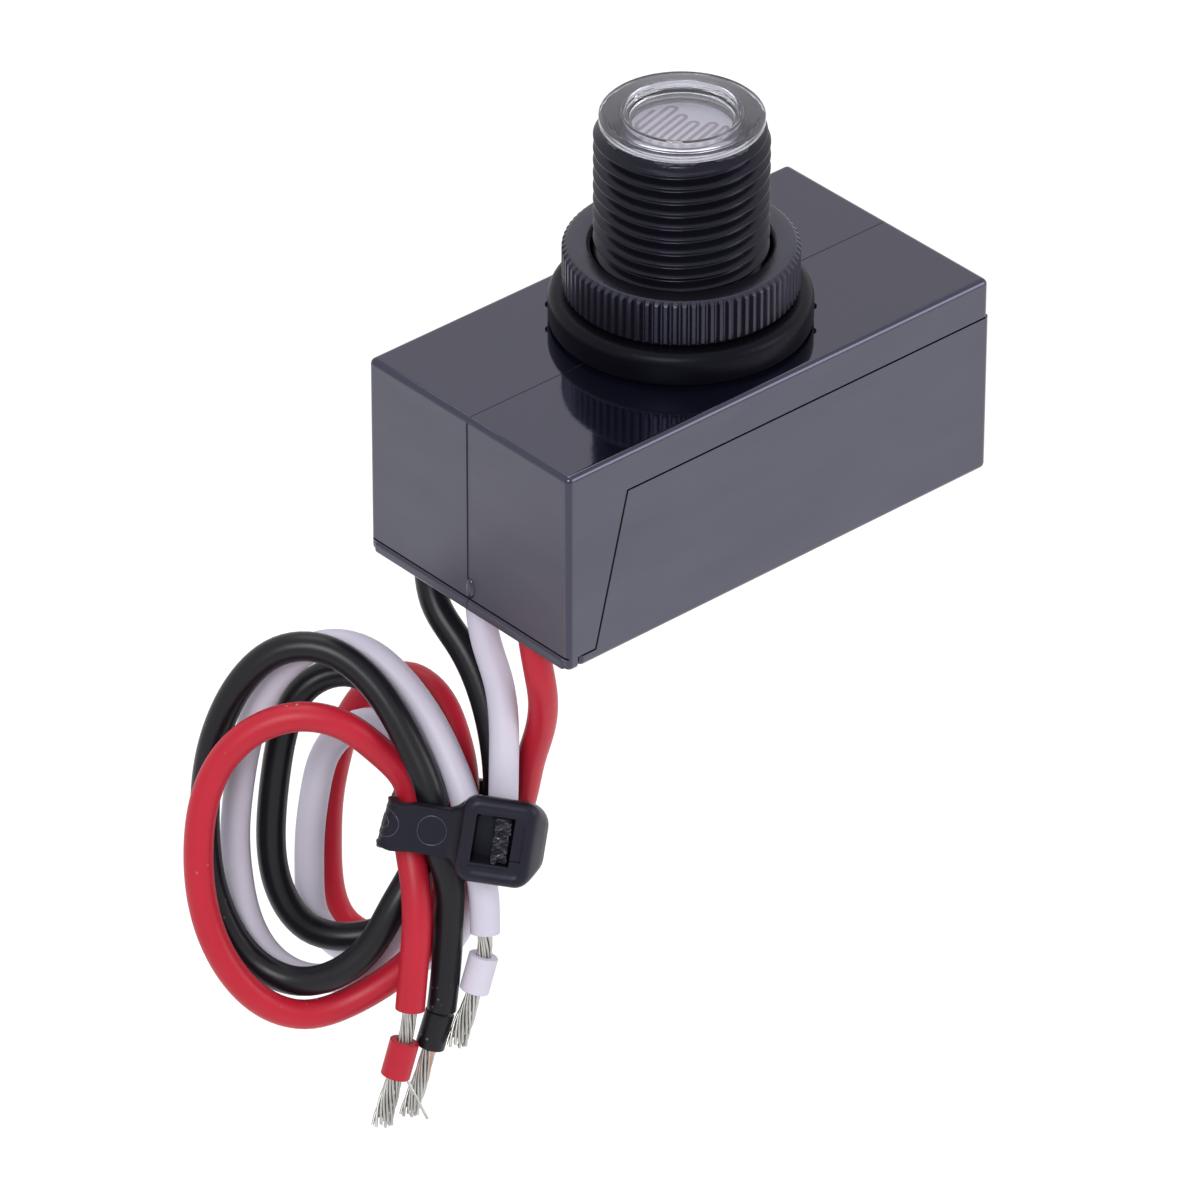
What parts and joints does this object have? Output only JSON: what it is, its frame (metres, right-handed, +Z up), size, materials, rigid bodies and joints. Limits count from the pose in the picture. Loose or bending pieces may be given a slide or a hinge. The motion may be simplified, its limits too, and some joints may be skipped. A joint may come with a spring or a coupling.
{
  "type": "photocell switch",
  "caption": "Box-shaped button photocell with a threaded stem, ring nut, gasket and clear cap on top, and looped leads tied together below one end.",
  "frame": {"origin": "on the stem's axis, at the housing's top face", "axes": "+Z up along the stem, +X along the housing towards the end away from the leads, +Y towards its back"},
  "size_m": [0.0852, 0.0355, 0.1017],
  "materials": {
    "housing_shell": "black moulded plastic, smooth glossy top and satin sides",
    "cover_shell": "black moulded plastic, satin",
    "gasket": "black soft rubber, slight sheen",
    "nut": "black moulded plastic, ribbed",
    "clear_cap": "clear moulded plastic",
    "light_cell": "pale grey ceramic with a mauve track",
    "tinned_wire": "tinned copper",
    "bare_strands": "tinned copper strands",
    "board": "resin laminate",
    "relay": "sealed relay case",
    "film_capacitor": "resin case",
    "can_sleeve": "sleeved can",
    "varistor": "dipped coating",
    "small_black_parts": "moulded resin",
    "resistors": "lacquered film",
    "terminals": "plain brass",
    "black_insulation": "soft plastic insulation",
    "white_insulation": "soft plastic insulation",
    "red_insulation": "soft plastic insulation",
    "tie_nylon": "black nylon"
  },
  "bodies": {
    "root": {"housing_body": "housing_shell", "housing_cover": "cover_shell", "sealing_gasket": "gasket", "lock_nut": "nut", "lens_cap": "clear_cap", "photocell_disc": "light_cell", "cell_lead_left": "tinned_wire", "cell_lead_right": "tinned_wire", "circuit_board": "board", "switching_relay": "relay", "dropper_capacitor": "film_capacitor", "smoothing_capacitor": "can_sleeve", "surge_varistor": "varistor", "rectifier_diode_1": "small_black_parts", "rectifier_diode_2": "small_black_parts", "zener_diode": "small_black_parts", "load_resistor": "resistors", "bleed_resistor": "resistors", "delay_resistor": "resistors", "driver_transistor": "small_black_parts", "black_terminal": "terminals", "white_terminal": "terminals", "red_terminal": "terminals", "black_lead": "black_insulation", "white_lead": "white_insulation", "red_lead": "red_insulation", "black_slug": "black_insulation", "white_slug": "white_insulation", "red_slug": "red_insulation", "black_strands": "bare_strands", "white_strands": "bare_strands", "red_strands": "bare_strands", "cable_tie": "tie_nylon"}
  },
  "joints": []
}
